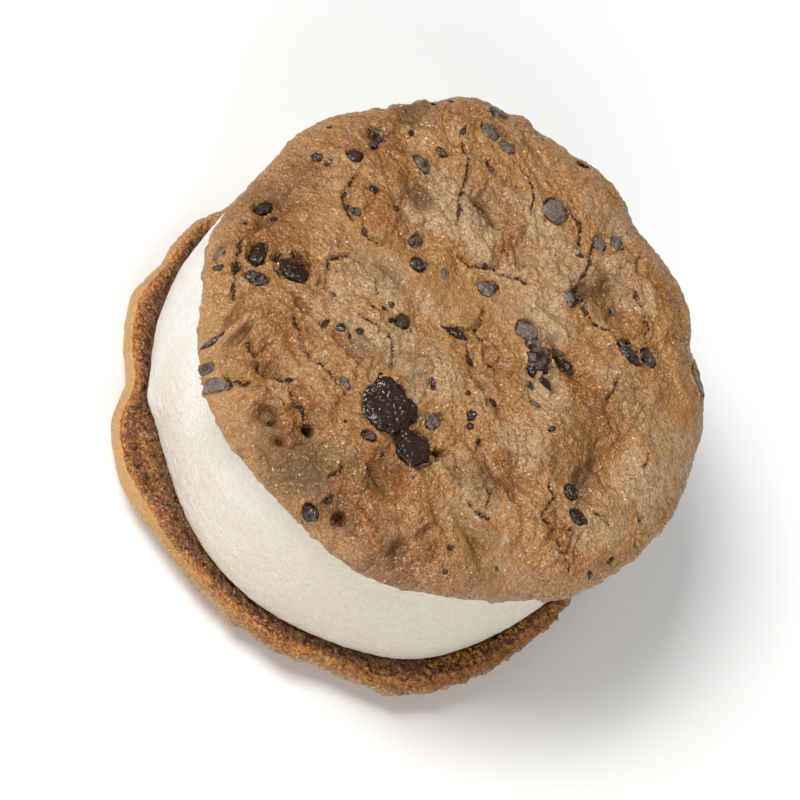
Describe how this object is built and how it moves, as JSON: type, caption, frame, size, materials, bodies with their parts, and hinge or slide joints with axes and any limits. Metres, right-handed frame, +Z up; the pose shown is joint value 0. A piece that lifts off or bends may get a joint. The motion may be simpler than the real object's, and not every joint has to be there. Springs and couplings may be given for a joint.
{
  "type": "vanilla ice cream cookie sandwich",
  "caption": "Thick round of vanilla ice cream pressed between two lumpy chocolate chip cookies, lying flat on its lower cookie.",
  "frame": {"origin": "on the floor under the axis of the upper cookie, in the middle of the flat spot that the sandwich lies on", "axes": "+Z up through the sandwich, from the lower cookie to the upper one; -Y towards the near side, as the picture shows it"},
  "size_m": [0.0922, 0.09, 0.055],
  "materials": {
    "crust": "baked cookie crust, golden to orange brown, lumpy and finely cracked, with a faint sugar gloss",
    "ice_cream": "ivory ice cream with a fine frozen grain, soft and slightly translucent",
    "chips": "dark chocolate chips, some glossy, some bloomed grey"
  },
  "bodies": {
    "root": {"upper_cookie": "crust", "ice_cream": "ice_cream", "lower_cookie": "crust"}
  },
  "joints": []
}
